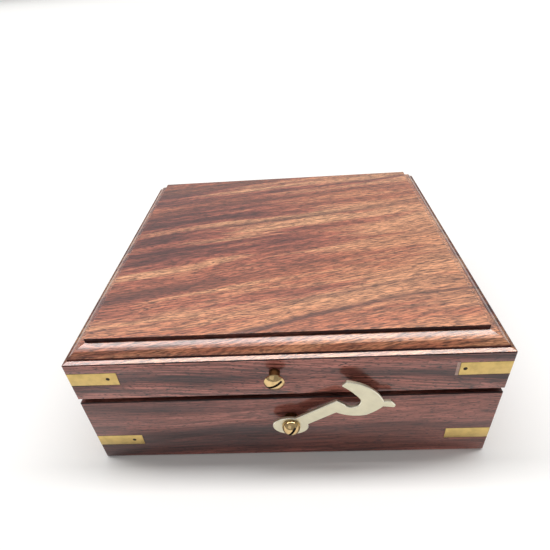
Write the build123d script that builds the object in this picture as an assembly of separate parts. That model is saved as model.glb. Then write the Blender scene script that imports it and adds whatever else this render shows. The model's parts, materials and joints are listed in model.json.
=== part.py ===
from build123d import *
import math
import os

# A small hardwood compass box: a mitred base, a hinged lid with a routed moulding, inlaid brass
# corner straps and an anchor shaped brass hook that catches a stud on the lid.
# Millimetres. The origin is the centre of the face it stands on, +Z is up, +X is to the right and
# the front, with the latch, faces -Y.

# Overall box
box_width = 127.0
box_depth = 120.65
base_height = 28.9
lid_gap = 1.4
wall = 9.0
corner_round = 0.5

# Base details
rim_chamfer = 0.3
foot_round = 0.8
bottom_thickness = 5.0
rabbet = 4.0
panel_gap = 0.2

# Lid details: side walls, then the board's edge, ledge, quarter round, shoulder and step
lid_wall_height = 14.5
lid_edge_ease = 0.6
board_edge = 1.0
ledge_width = 1.4
ovolo_width = 3.4
ovolo_height = 2.8
shoulder_width = 1.15
step_height = 1.6
field_arris = 0.25

# Hinges: the axis lies in the gap between base and lid, in a V groove along the back that stops
# the lid just past upright
hinge_inset = 2.5
bevel_angle = 50.0
bevel_clearance = 0.15
hinge_length = 22.0
hinge_side_setback = 25.5
knuckle_radius = 1.6
knuckle_gap = 0.3
hinge_pin_radius = 0.6
hinge_pin_clearance = 0.03
leaf_thickness = 0.8
leaf_width = 5.5
leaf_half_gap = 0.05
leaf_fit = 0.12
mortise_clearance = 0.4
leaf_screw_spacing = 13.0
leaf_screw_setback = 3.65
leaf_screw_head_radius = 1.3
leaf_screw_shank_radius = 0.7
leaf_screw_length = 7.0
screw_fit = 0.05

# Corner straps
strap_thickness = 1.0
strap_fit = 0.12
side_leg = 15.0
lid_strap_height = 4.95
lid_strap_rise = 6.67
lid_left_leg = 15.0
lid_right_leg = 14.4
base_strap_height = 4.8
base_strap_rise = 7.2
base_left_leg = 15.2
base_right_leg = 13.8
filler_length = 0.9
strap_pin_radius = 0.6
strap_pin_length = 6.5
strap_pin_from_end = 3.0
lid_right_pin_from_end = 1.5

# Latch
pivot_x = 1.14
pivot_drop = 9.2
stud_x = -2.67
stud_rise = 10.0
hook_thickness = 0.8
hook_standoff = 2.4
hook_side_play = 0.1
hook_edge_ease = 0.15
hook_rest_angle = 32.4
hook_shank_above = 2.07
hook_shank_below = 2.33
hook_foot_long = 5.47
hook_foot_short = 3.84
hook_foot_x = -0.33
hook_foot_y = -0.22
hook_foot_turn = -38.5
hook_seat_angle = -2.2
hook_seat_radius = 2.47
hook_mouth_angle = 17.2
hook_mouth_pinch = 0.45
hook_arm_width = 1.76
hook_arm_round = 0.45
hook_crown_width = 4.7
hook_crown_angle = 2.8
hook_fluke_reach = 3.4
hook_crook_reach = 6.35
hook_bilge_reach = 4.4
hook_bilge_angle = -53.0
hook_keel_depth = 7.54
hook_keel_shift = 0.4
hook_run_belly = 0.3
hook_nose_root = 9.15
hook_nose_root_angle = -40.0
hook_nose_angle = -32.0
hook_nose_half = 1.17
hook_nose_length = 3.5
hook_nose_shoulder = 2.1
hook_nose_heel = 3.3
hook_nose_heel_half = 1.75
hook_nose_toe_half = 0.7
hook_nose_round = 0.35
pivot_neck_radius = 1.35
pivot_neck_clearance = 0.05
pivot_shoulder_radius = 2.1
stud_neck_radius = 1.6
stud_head_play = 0.3
wood_thread_radius = 1.1
wood_thread_length = 7.0
pivot_head_radius = 2.8
pivot_head_height = 2.7
pivot_slot_angle = 52.0
stud_head_radius = 2.9
stud_head_height = 1.7
stud_slot_angle = 28.0
head_rim = 0.35
slot_width = 0.8
slot_depth = 0.9

# Inside
compass_radius = 40.0
recess_clearance = 1.5
recess_depth = 18.0
hinge_notch_width = 28.0
hinge_notch_reach = 5.0
finger_scoop_radius = 9.0
liner_fit = 0.3
liner_drop = 1.0
liner_edge_round = 1.2
recess_cushion_thickness = 2.2
recess_cushion_rim = 1.2
cushion_fit = 0.4
lid_cushion_thickness = 4.0
lid_cushion_round = 3.0

# Values that follow from the ones above
front_y = -box_depth / 2
back_y = box_depth / 2
inner_width = box_width - 2 * wall
inner_depth = box_depth - 2 * wall
lid_bottom = base_height + lid_gap
pivot_z = base_height - pivot_drop
stud_z = lid_bottom + stud_rise
lid_strap_bottom = lid_bottom + lid_strap_rise
board_bottom = lid_bottom + lid_wall_height
ledge_z = board_bottom + board_edge
shoulder_z = ledge_z + ovolo_height
field_z = shoulder_z + step_height
field_inset = ledge_width + ovolo_width + shoulder_width
axis_y = back_y - hinge_inset
axis_z = base_height + lid_gap / 2
recess_radius = compass_radius + recess_clearance
liner_top = base_height - liner_drop
recess_floor = liner_top - recess_depth
catch_radius = math.hypot(stud_x - pivot_x, stud_z - pivot_z)
catch_angle = math.degrees(math.atan2(stud_z - pivot_z, stud_x - pivot_x))
hook_closing_turn = catch_angle - hook_rest_angle - hook_seat_angle
hook_back_y = front_y - hook_standoff
hook_front_y = hook_back_y - hook_thickness
lid_open_turn = 2 * bevel_angle

LEFT_RIGHT = {"left": -1, "right": 1}
FRONT_BACK = {"front": -1, "back": 1}


def block(x0, x1, y0, y1, z0, z1):
    """A box between two corners."""
    centre = Pos((x0 + x1) / 2, (y0 + y1) / 2, (z0 + z1) / 2)
    return centre * Box(x1 - x0, y1 - y0, z1 - z0)


def prism_along_x(outline, length):
    """Extrude a closed outline of (y, z) points along X, centred on x = 0."""
    plane = Plane(origin=(-length / 2, 0, 0), x_dir=(0, 1, 0), z_dir=(1, 0, 0))
    return extrude(plane * make_face(outline), length)


def prism_along_y(outline, length):
    """Extrude a closed outline of (x, z) points along Y, centred on y = 0."""
    plane = Plane(origin=(0, length / 2, 0), x_dir=(1, 0, 0), z_dir=(0, -1, 0))
    return extrude(plane * make_face(outline), length)


def plan_prism(z0, z1):
    """The box's plan with its vertical edges rounded, between two heights."""
    plan = RectangleRounded(box_width, box_depth, corner_round)
    return Pos(0, 0, z0) * extrude(plan, z1 - z0)


def groove_reach():
    """How far above or below the hinge axis the V groove runs out through the back face."""
    slope = math.tan(math.radians(bevel_angle))
    return hinge_inset * slope + bevel_clearance / math.cos(math.radians(bevel_angle))


def groove_apex():
    """How far behind the hinge axis a bevel meets the rim that it starts from."""
    slope = math.tan(math.radians(bevel_angle))
    lift = lid_gap / 2 - bevel_clearance / math.cos(math.radians(bevel_angle))
    return lift / slope


def mitre_wedge(side, z0, z1):
    """The trapezoid, seen from above, that one of four mitred walls fills."""
    x_out = box_width / 2
    y_out = box_depth / 2
    x_in = x_out - wall
    y_in = y_out - wall
    corners = {
        "front": [(-x_out, -y_out), (x_out, -y_out), (x_in, -y_in), (-x_in, -y_in)],
        "back": [(-x_out, y_out), (-x_in, y_in), (x_in, y_in), (x_out, y_out)],
        "left": [(-x_out, -y_out), (-x_in, -y_in), (-x_in, y_in), (-x_out, y_out)],
        "right": [(x_out, -y_out), (x_out, y_out), (x_in, y_in), (x_in, -y_in)],
    }
    face = make_face(Polyline(*corners[side], close=True))
    return Pos(0, 0, z0) * extrude(face, z1 - z0)


def rounded_foot(half, z0):
    """Outline pieces of a profile's two rounded lower corners, as arcs."""
    turn = foot_round * (1 - math.cos(math.radians(45)))
    right = ThreePointArc((half - foot_round, z0), (half - turn, z0 + turn), (half, z0 + foot_round))
    left = ThreePointArc((-half, z0 + foot_round), (-half + turn, z0 + turn), (-half + foot_round, z0))
    return left, right


def base_envelope():
    """The base's outer form: rounded foot, chamfered rim, bevelled back edge."""
    half = box_width / 2
    left, right = rounded_foot(half, 0)
    across = left + Line(left @ 1, right @ 0) + right
    across += Polyline(right @ 1, (half, base_height - rim_chamfer), (half - rim_chamfer, base_height),
                       (-half + rim_chamfer, base_height), (-half, base_height - rim_chamfer), left @ 0)
    front, back = rounded_foot(box_depth / 2, 0)
    along = front + Line(front @ 1, back @ 0) + back
    along += Polyline(back @ 1, (back_y, axis_z - groove_reach()), (axis_y + groove_apex(), base_height),
                      (front_y + rim_chamfer, base_height), (front_y, base_height - rim_chamfer), front @ 0)
    form = prism_along_y(across, box_depth) & prism_along_x(along, box_width)
    return form & plan_prism(0, base_height)


def lid_envelope():
    """The lid walls' outer form: eased lower edge, bevelled back edge."""
    half = box_width / 2
    top = board_bottom
    across = Polyline((-half, lid_bottom + lid_edge_ease), (-half + lid_edge_ease, lid_bottom),
                      (half - lid_edge_ease, lid_bottom), (half, lid_bottom + lid_edge_ease),
                      (half, top), (-half, top), close=True)
    along = Polyline((front_y, lid_bottom + lid_edge_ease), (front_y + lid_edge_ease, lid_bottom),
                     (axis_y + groove_apex(), lid_bottom), (back_y, axis_z + groove_reach()),
                     (back_y, top), (front_y, top), close=True)
    form = prism_along_y(across, box_depth) & prism_along_x(along, box_width)
    return form & plan_prism(lid_bottom, top)


def moulding_outline(half):
    """The board's profile from edge to edge: ledge, quarter round, shoulder, step and field."""
    foot = half - ledge_width
    crest = foot - ovolo_width
    step = half - field_inset
    bend_x = ovolo_width * math.cos(math.radians(45))
    bend_z = ovolo_height * math.sin(math.radians(45))
    middle = crest + bend_x
    right_round = ThreePointArc((foot, ledge_z), (middle, ledge_z + bend_z), (crest, shoulder_z))
    left_round = ThreePointArc((-crest, shoulder_z), (-middle, ledge_z + bend_z), (-foot, ledge_z))
    lower = Polyline(left_round @ 1, (-half, ledge_z), (-half, board_bottom), (half, board_bottom),
                     (half, ledge_z), right_round @ 0)
    upper = Polyline(right_round @ 1, (step, shoulder_z), (step, field_z - field_arris),
                     (step - field_arris, field_z), (-step + field_arris, field_z),
                     (-step, field_z - field_arris), (-step, shoulder_z), left_round @ 0)
    return lower + right_round + upper + left_round


def make_top_board():
    """The lid's top board, its moulding routed on all four sides and mitred at the corners."""
    across = prism_along_y(moulding_outline(box_width / 2), box_depth)
    along = prism_along_x(moulding_outline(box_depth / 2), box_width)
    return across & along & plan_prism(board_bottom, field_z)


def strap_plan(sx, sy, front_leg, grow, depth):
    """The L of a corner strap seen from above; grow lengthens both legs at their ends."""
    x_corner = sx * box_width / 2
    y_corner = sy * box_depth / 2
    x_end = x_corner - sx * (front_leg + grow)
    y_end = y_corner - sy * (side_leg + grow)
    x_in = x_corner - sx * depth
    y_in = y_corner - sy * depth
    points = [(x_corner, y_corner), (x_end, y_corner), (x_end, y_in), (x_in, y_in), (x_in, y_end),
              (x_corner, y_end)]
    return make_face(Polyline(*points, close=True))


def make_strap(sx, sy, front_leg, bottom, height):
    """One L shaped strap, flush with the faces and rounded with the box's vertical edge."""
    plate = extrude(strap_plan(sx, sy, front_leg, 0, strap_thickness), height)
    return (Pos(0, 0, bottom) * plate) & plan_prism(bottom, bottom + height)


def strap_slot(sx, sy, front_leg, bottom, height):
    """The recess of one strap, a hair larger than the strap at its edges and ends."""
    plate = extrude(strap_plan(sx, sy, front_leg, strap_fit, strap_thickness), height + 2 * strap_fit)
    return Pos(0, 0, bottom - strap_fit) * plate


def strap_pin_places(sx, sy, front_leg, bottom, height, pin_from_end):
    """Where a strap's two pins enter, and the direction each is driven."""
    z = bottom + height / 2
    y_face = sy * box_depth / 2
    x_face = sx * box_width / 2
    x_pin = x_face - sx * (front_leg - pin_from_end)
    y_pin = y_face - sy * (side_leg - strap_pin_from_end)
    return [((x_pin, y_face, z), (0, -sy, 0)), ((x_face, y_pin, z), (-sx, 0, 0))]


def rod(start, direction, radius, length):
    """A round bar from a point along a direction."""
    return Plane(origin=start, z_dir=direction) * Cylinder(
        radius, length, align=(Align.CENTER, Align.CENTER, Align.MIN))


def strap_set(level):
    """The four straps of the base or of the lid: place, leg length, bottom, height, pin's place."""
    pins = {"left": strap_pin_from_end, "right": strap_pin_from_end}
    if level == "lid":
        legs = {"left": lid_left_leg, "right": lid_right_leg}
        bottom, height = lid_strap_bottom, lid_strap_height
        pins["right"] = lid_right_pin_from_end
    else:
        legs = {"left": base_left_leg, "right": base_right_leg}
        bottom, height = base_strap_rise, base_strap_height
    straps = {}
    for fb, sy in FRONT_BACK.items():
        for lr, sx in LEFT_RIGHT.items():
            straps[fb + "_" + lr] = (sx, sy, legs[lr], bottom, height), pins[lr]
    return straps


def inlay_cuts(level):
    """Everything the straps and their pins take out of the walls."""
    cuts = []
    for place, pin_from_end in strap_set(level).values():
        cuts.append(strap_slot(*place))
        for start, direction in strap_pin_places(*place, pin_from_end):
            cuts.append(rod(start, direction, strap_pin_radius, strap_pin_length))
    return cuts


def filler_block():
    """The slot left open past the inner end of the lid's front right strap."""
    x_end = box_width / 2 - lid_right_leg - strap_fit
    top = lid_strap_bottom + lid_strap_height + strap_fit
    return block(x_end - filler_length, x_end, front_y, front_y + strap_thickness,
                 lid_strap_bottom - strap_fit, top)


def hinge_centres():
    """The middle of each hinge along X."""
    return {name: sx * (box_width / 2 - hinge_side_setback) for name, sx in LEFT_RIGHT.items()}


def hinge_rod(x0, x1, radius):
    """A round bar on the hinge axis between two stations."""
    return rod((x0, axis_y, axis_z), (1, 0, 0), radius, x1 - x0)


def knuckle_spans(x):
    """The three knuckles of a hinge: two outer ones on the base leaf, the middle one on the lid's."""
    length = (hinge_length - 2 * knuckle_gap) / 3
    start = x - hinge_length / 2
    spans = [(start + i * (length + knuckle_gap), start + i * (length + knuckle_gap) + length)
             for i in range(3)]
    return [spans[0], spans[2]], [spans[1]]


def leaf_screw_places(x):
    """Plan positions of a leaf's two screws."""
    return [(x + s * leaf_screw_spacing / 2, axis_y - leaf_screw_setback) for s in (-1, 1)]


def leaf_screw(x, y, z_face, way, fit):
    """One countersunk screw, head flush with z_face and pointing way (1 up, -1 down)."""
    head_depth = leaf_screw_head_radius - leaf_screw_shank_radius
    head_r = leaf_screw_head_radius + fit
    shank_r = leaf_screw_shank_radius + fit
    profile = Polyline((0, 0), (head_r, 0), (shank_r, head_depth), (shank_r, leaf_screw_length + fit),
                       (0, leaf_screw_length + fit), close=True)
    shape = revolve(make_face(Plane.XZ * profile), Axis.Z)
    if way < 0:
        shape = Rot(180, 0, 0) * shape
    return Pos(x, y, z_face) * shape


def make_hinge_leaf(x, way):
    """A leaf with its knuckles: way -1 lies on the base's rim, way 1 under the lid's."""
    outer, middle = knuckle_spans(x)
    own, other = (outer, middle) if way < 0 else (middle, outer)
    near = axis_z + way * leaf_half_gap
    far = near + way * leaf_thickness
    plate = block(x - hinge_length / 2, x + hinge_length / 2, axis_y - leaf_width, axis_y,
                  min(near, far), max(near, far))
    leaf = plate
    for x0, x1 in own:
        leaf += hinge_rod(x0, x1, knuckle_radius)
    for x0, x1 in other:
        room = knuckle_radius + mortise_clearance
        leaf -= block(x0 - knuckle_gap, x1 + knuckle_gap, axis_y - room, axis_y + room,
                      axis_z - room, axis_z + room)
    bore = hinge_pin_radius if way < 0 else hinge_pin_radius + hinge_pin_clearance
    leaf -= hinge_rod(x - hinge_length, x + hinge_length, bore)
    for sx, sy in leaf_screw_places(x):
        leaf -= leaf_screw(sx, sy, near, way, screw_fit)
    return leaf


def hinge_cuts(way):
    """What the hinges take out of a back wall: leaf recess, knuckle mortise and screw holes."""
    rim = base_height if way < 0 else lid_bottom
    near = axis_z + way * leaf_half_gap
    far = near + way * leaf_thickness
    room = knuckle_radius + mortise_clearance
    cuts = []
    for x in hinge_centres().values():
        x0 = x - hinge_length / 2 - leaf_fit
        x1 = x + hinge_length / 2 + leaf_fit
        cuts.append(block(x0, x1, axis_y - leaf_width - leaf_fit, axis_y, min(rim, far), max(rim, far)))
        cuts.append(hinge_rod(x0, x1, room))
        for sx, sy in leaf_screw_places(x):
            cuts.append(leaf_screw(sx, sy, near, way, screw_fit))
    return cuts


def make_hinge_pin(x):
    """The pin that joins a hinge's knuckles."""
    return hinge_rod(x - hinge_length / 2, x + hinge_length / 2, hinge_pin_radius)


def domed_head(radius, height, slot_angle):
    """A slotted round head standing on the XY plane: a short rim under the cap of a ball."""
    cap = height - head_rim
    ball = (radius ** 2 + cap ** 2) / (2 * cap)
    bend = math.asin(radius / ball) / 2
    middle = (ball * math.sin(bend), height - ball * (1 - math.cos(bend)))
    outline = Polyline((0, height), (0, 0), (radius, 0), (radius, head_rim))
    outline += ThreePointArc((radius, head_rim), middle, (0, height))
    head = revolve(make_face(Plane.XZ * outline), Axis.Z)
    slot = Box(2 * radius + 1, slot_width, slot_depth, align=(Align.CENTER, Align.CENTER, Align.MAX))
    return head - Pos(0, 0, height) * Rot(0, 0, slot_angle) * slot


def outward_plane(x, z, stand):
    """A plane on the front face at (x, z), moved out by stand, with +Z leaving the box."""
    return Plane(origin=(x, front_y - stand, z), x_dir=(1, 0, 0), z_dir=(0, -1, 0))


def make_latch_screw(x, z, head, stand, necks):
    """A slotted screw on the front: necks are (radius, from, to) measured out from the face."""
    screw = outward_plane(x, z, stand) * head
    for radius, start, end in necks:
        screw += rod((x, front_y - start, z), (0, -1, 0), radius, end - start)
    screw += rod((x, front_y, z), (0, 1, 0), wood_thread_radius, wood_thread_length)
    return screw


def make_pivot_screw():
    """The hook turns on this screw's neck, between its shoulder and its head."""
    shoulder_end = hook_standoff - hook_side_play
    head_start = hook_standoff + hook_thickness + hook_side_play
    necks = [(pivot_shoulder_radius, 0, shoulder_end), (pivot_neck_radius, shoulder_end, head_start)]
    head = domed_head(pivot_head_radius, pivot_head_height, pivot_slot_angle)
    return make_latch_screw(pivot_x, pivot_z, head, head_start, necks)


def make_latch_stud():
    """The hook slips behind this screw's head and catches its neck."""
    head_start = hook_standoff + hook_thickness + stud_head_play
    necks = [(stud_neck_radius, 0, head_start)]
    head = domed_head(stud_head_radius, stud_head_height, stud_slot_angle)
    return make_latch_screw(stud_x, stud_z, head, head_start, necks)


def thread_hole(x, z):
    """The pilot hole of a latch screw in a front wall."""
    return rod((x, front_y, z), (0, 1, 0), wood_thread_radius + screw_fit, wood_thread_length + screw_fit)


def polar(radius, angle):
    """A point in the hook's own plane, from its pivot."""
    return (radius * math.cos(math.radians(angle)), radius * math.sin(math.radians(angle)))


def from_point(origin, length, angle):
    """A point at a length and angle from another."""
    step = polar(length, angle)
    return (origin[0] + step[0], origin[1] + step[1])


def hook_nose(seat):
    """The little tab on the crown that a finger lifts: two roots with heel, toe and shoulder between."""
    root = from_point(seat, hook_nose_root, hook_nose_root_angle)
    corners = [(0, -hook_nose_half), (hook_nose_heel, -hook_nose_heel_half),
               (hook_nose_length, -hook_nose_toe_half), (hook_nose_shoulder, hook_nose_half), (0, hook_nose_half)]
    return [from_point(from_point(root, along, hook_nose_angle), aside, hook_nose_angle + 90)
            for along, aside in corners]


def hook_plate():
    """The anchor hook's face with its shank along +X and its pivot at the origin."""
    seat = polar(catch_radius, hook_seat_angle)
    throat_out = catch_radius + hook_seat_radius
    arm_inner = polar(throat_out - hook_mouth_pinch, hook_mouth_angle)
    arm_mid = polar(throat_out - hook_mouth_pinch / 2, (hook_mouth_angle + hook_seat_angle) / 2)
    arm_outer = polar(throat_out + hook_arm_width, hook_mouth_angle)
    seat_far = polar(throat_out, hook_seat_angle)
    seat_low = from_point(seat, hook_seat_radius, hook_seat_angle - 90)
    seat_near = polar(catch_radius - hook_seat_radius, hook_seat_angle)
    fluke_tip = (catch_radius - hook_fluke_reach, hook_shank_above)
    crook = (catch_radius - hook_crook_reach, -hook_shank_below)
    bilge = from_point(crook, hook_bilge_reach, hook_bilge_angle)
    keel = (seat[0] + hook_keel_shift, seat[1] - hook_keel_depth)
    crown = polar(throat_out + hook_crown_width, hook_crown_angle)
    nose_low, heel, toe, shoulder, nose_high = hook_nose(seat)
    run_angle = math.degrees(math.atan2(nose_low[1] - keel[1], nose_low[0] - keel[0]))
    run_middle = from_point(keel, math.dist(keel, nose_low) / 2, run_angle)
    run_low = from_point(run_middle, hook_run_belly, run_angle - 90)

    outline = ThreePointArc(arm_inner, arm_mid, seat_far)
    outline += ThreePointArc(seat_far, seat_low, seat_near)
    outline += Polyline(seat_near, fluke_tip, (0, hook_shank_above), (0, -hook_shank_below), crook)
    outline += ThreePointArc(crook, bilge, keel)
    outline += ThreePointArc(keel, run_low, nose_low)
    outline += Polyline(nose_low, heel, toe, shoulder, nose_high)
    outline += ThreePointArc(nose_high, crown, arm_outer)
    outline += Line(arm_outer, arm_inner)
    plate = make_face(outline)
    plate = round_corners(plate, [arm_inner, arm_outer], hook_arm_round)
    plate = round_corners(plate, [heel, toe, shoulder], hook_nose_round)
    foot = Pos(hook_foot_x, hook_foot_y) * Rot(0, 0, hook_foot_turn) * Ellipse(hook_foot_long, hook_foot_short)
    return plate + foot


def round_corners(face, places, radius):
    """Round the corners of a flat face that lie nearest to some places."""
    for x, y in places:
        corner = min(face.vertices(), key=lambda v: math.dist((v.X, v.Y), (x, y)))
        face = fillet(corner, radius)
    return face


def make_hook():
    """The hook at the angle it rests at in the open latch, filed along its front edges."""
    plate = extrude(hook_plate(), hook_thickness)
    plate = chamfer(plate.edges().group_by(Axis.Z)[-1], hook_edge_ease)
    plate -= Cylinder(pivot_neck_radius + pivot_neck_clearance, 3 * hook_thickness)
    return outward_plane(pivot_x, pivot_z, hook_standoff) * Rot(0, 0, hook_rest_angle) * plate


def liner_cavity():
    """The recess: round for the compass, with finger scoops and notches for its two hinges."""
    z0 = recess_floor
    z1 = base_height
    middle = (z0 + z1) / 2
    reach = recess_radius + hinge_notch_reach
    cavity = Pos(0, 0, middle) * Cylinder(recess_radius, z1 - z0)
    cavity += block(-hinge_notch_width / 2, hinge_notch_width / 2, -reach, reach, z0, z1)
    for sx in LEFT_RIGHT.values():
        cavity += Pos(sx * recess_radius, 0, middle) * Cylinder(finger_scoop_radius, z1 - z0)
    return cavity


def make_liner():
    """The covered block that fills the base around the recess."""
    half_x = inner_width / 2 - liner_fit
    half_y = inner_depth / 2 - liner_fit
    body = block(-half_x, half_x, -half_y, half_y, bottom_thickness, liner_top)
    body -= liner_cavity()
    return fillet(body.faces().sort_by(Axis.Z)[-1].edges(), liner_edge_round)


def make_recess_cushion():
    """A crowned round pad on the recess floor, thin at its rim."""
    radius = recess_radius - cushion_fit
    rise = recess_cushion_thickness - recess_cushion_rim
    crown_radius = (radius ** 2 + rise ** 2) / (2 * rise)
    middle_z = recess_cushion_thickness - crown_radius + math.sqrt(crown_radius ** 2 - (radius / 2) ** 2)
    crown = ThreePointArc((radius, recess_cushion_rim), (radius / 2, middle_z), (0, recess_cushion_thickness))
    outline = Polyline((0, recess_cushion_thickness), (0, 0), (radius - recess_cushion_rim / 2, 0),
                       (radius, recess_cushion_rim / 2), (radius, recess_cushion_rim)) + crown
    return Pos(0, 0, recess_floor) * revolve(make_face(Plane.XZ * outline), Axis.Z)


def make_lid_cushion():
    """The soft pad glued under the top board, its lower edges drawn up to the board."""
    half_x = inner_width / 2 - cushion_fit
    half_y = inner_depth / 2 - cushion_fit
    pad = block(-half_x, half_x, -half_y, half_y, board_bottom - lid_cushion_thickness, board_bottom)
    return fillet(pad.faces().sort_by(Axis.Z)[0].edges(), lid_cushion_round)


def make_walls(envelope, cuts, z0, z1):
    """The four mitred walls of a shell with what is let into them taken out."""
    shell = envelope - block(-inner_width / 2, inner_width / 2, -inner_depth / 2, inner_depth / 2, z0 - 1, z1 + 1)
    walls = {}
    for side in ("front", "back", "left", "right"):
        piece = shell & mitre_wedge(side, z0, z1)
        for cut in cuts:
            piece = piece - cut
        walls[side] = piece
    return walls


def make_base():
    """Base walls and bottom panel."""
    panel_x = inner_width / 2 + rabbet
    panel_y = inner_depth / 2 + rabbet
    cuts = inlay_cuts("base") + hinge_cuts(-1)
    cuts.append(block(-panel_x, panel_x, -panel_y, panel_y, 0, bottom_thickness))
    cuts.append(thread_hole(pivot_x, pivot_z))
    parts = {}
    for side, piece in make_walls(base_envelope(), cuts, 0, base_height).items():
        parts["base_" + side + "_wall"] = piece
    parts["base_bottom_panel"] = block(-panel_x + panel_gap, panel_x - panel_gap, -panel_y + panel_gap,
                                       panel_y - panel_gap, 0, bottom_thickness)
    return parts


def make_lid():
    """Lid walls and moulded top board."""
    cuts = inlay_cuts("lid") + hinge_cuts(1)
    cuts.append(filler_block())
    cuts.append(thread_hole(stud_x, stud_z))
    parts = {}
    for side, piece in make_walls(lid_envelope(), cuts, lid_bottom, board_bottom).items():
        parts["lid_" + side + "_wall"] = piece
    parts["lid_top_board"] = make_top_board()
    parts["lid_strap_filler"] = filler_block()
    return parts


def make_straps(level):
    """The straps of one level, each its own piece, and all their pins as one group."""
    parts = {}
    pins = []
    for name, (place, pin_from_end) in strap_set(level).items():
        strap = make_strap(*place)
        for start, direction in strap_pin_places(*place, pin_from_end):
            pin = rod(start, direction, strap_pin_radius, strap_pin_length)
            strap -= pin
            pins.append(pin)
        parts[level + "_strap_" + name] = strap
    parts[level + "_strap_pins"] = Compound(children=pins)
    return parts


def make_hinges():
    """Both hinges: a base leaf, a lid leaf and a pin each, and the screws as two groups."""
    parts = {}
    screws = {-1: [], 1: []}
    for name, x in hinge_centres().items():
        parts["hinge_base_leaf_" + name] = make_hinge_leaf(x, -1)
        parts["hinge_lid_leaf_" + name] = make_hinge_leaf(x, 1)
        parts["hinge_pin_" + name] = make_hinge_pin(x)
        for way in screws:
            for sx, sy in leaf_screw_places(x):
                screws[way].append(leaf_screw(sx, sy, axis_z + way * leaf_half_gap, way, 0))
    parts["hinge_base_screws"] = Compound(children=screws[-1])
    parts["hinge_lid_screws"] = Compound(children=screws[1])
    return parts


def make_all():
    """Every sub-part of the box, by name."""
    parts = {}
    parts.update(make_base())
    parts.update(make_lid())
    parts.update(make_straps("base"))
    parts.update(make_straps("lid"))
    parts.update(make_hinges())
    parts["base_liner"] = make_liner()
    parts["recess_cushion"] = make_recess_cushion()
    parts["lid_cushion"] = make_lid_cushion()
    parts["hook_pivot_screw"] = make_pivot_screw()
    parts["latch_stud"] = make_latch_stud()
    parts["anchor_hook"] = make_hook()
    return parts


os.makedirs("parts", exist_ok=True)
for node, shape in make_all().items():
    export_step(shape, "parts/" + node + ".step")
print("hinge axis y", round(axis_y, 3), "z", round(axis_z, 3), "opens", lid_open_turn)
print("hook pivot", pivot_x, round(front_y, 3), pivot_z, "closes by", round(hook_closing_turn, 2))
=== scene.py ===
import json
import math

import bmesh
import bpy
from bpy.props import FloatProperty, FloatVectorProperty, PointerProperty
from mathutils import Matrix, Vector


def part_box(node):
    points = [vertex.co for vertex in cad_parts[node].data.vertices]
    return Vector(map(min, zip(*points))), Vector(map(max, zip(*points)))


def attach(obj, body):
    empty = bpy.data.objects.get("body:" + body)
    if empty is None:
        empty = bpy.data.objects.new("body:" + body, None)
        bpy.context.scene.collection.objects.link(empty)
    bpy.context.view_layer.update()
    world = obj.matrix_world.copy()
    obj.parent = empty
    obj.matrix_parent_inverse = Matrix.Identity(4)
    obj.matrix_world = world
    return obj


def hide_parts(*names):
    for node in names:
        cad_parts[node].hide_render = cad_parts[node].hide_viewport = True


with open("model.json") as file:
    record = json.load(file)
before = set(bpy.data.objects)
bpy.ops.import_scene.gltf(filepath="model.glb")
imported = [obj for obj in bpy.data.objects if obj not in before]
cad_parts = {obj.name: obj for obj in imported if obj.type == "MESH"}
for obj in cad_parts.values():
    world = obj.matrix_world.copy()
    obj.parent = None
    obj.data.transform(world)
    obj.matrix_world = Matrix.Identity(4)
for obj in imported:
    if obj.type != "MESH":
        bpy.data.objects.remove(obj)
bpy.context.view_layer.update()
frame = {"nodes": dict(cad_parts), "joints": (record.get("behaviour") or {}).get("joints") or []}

bl_info = {
    "name": "Hardwood compass box",
    "version": (1, 0, 0),
    "blender": (4, 5, 0),
    "location": "3D View > Sidebar > Compass Box",
    "description": "Dresses a small brass bound box: lacquered wood, inlaid brass, hook and velvet",
    "category": "Object",
}

MM = 0.001
NODES = frame["nodes"]

# Places read from the frame, in metres
BOARD_LOW, BOARD_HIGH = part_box("lid_top_board")
BASE_LOW, BASE_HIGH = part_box("base_front_wall")
PIVOT = Vector(next(j for j in frame["joints"] if j["name"] == "hook_pivot")["pos_m"])
FRONT = BASE_LOW.y
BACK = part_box("base_back_wall")[1].y
SIDE = BOARD_HIGH.x

# How a face lies, by its normal's Z: steep under the first, nearly level over the second
STEEP = 0.55
FLAT = 0.9
# Places this close, in metres, are the same
SAME = 1e-6


def linear(hex_colour):
    """An sRGB hex colour as the linear colour that a shader socket takes."""
    values = [int(hex_colour[i:i + 2], 16) / 255 for i in (1, 3, 5)]
    return [v / 12.92 if v <= 0.04045 else ((v + 0.055) / 1.055) ** 2.4 for v in values]


def opaque(hex_colour):
    """The same with full alpha, as a colour socket stores it."""
    return (*linear(hex_colour), 1.0)


# Settings that a user would change


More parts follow.
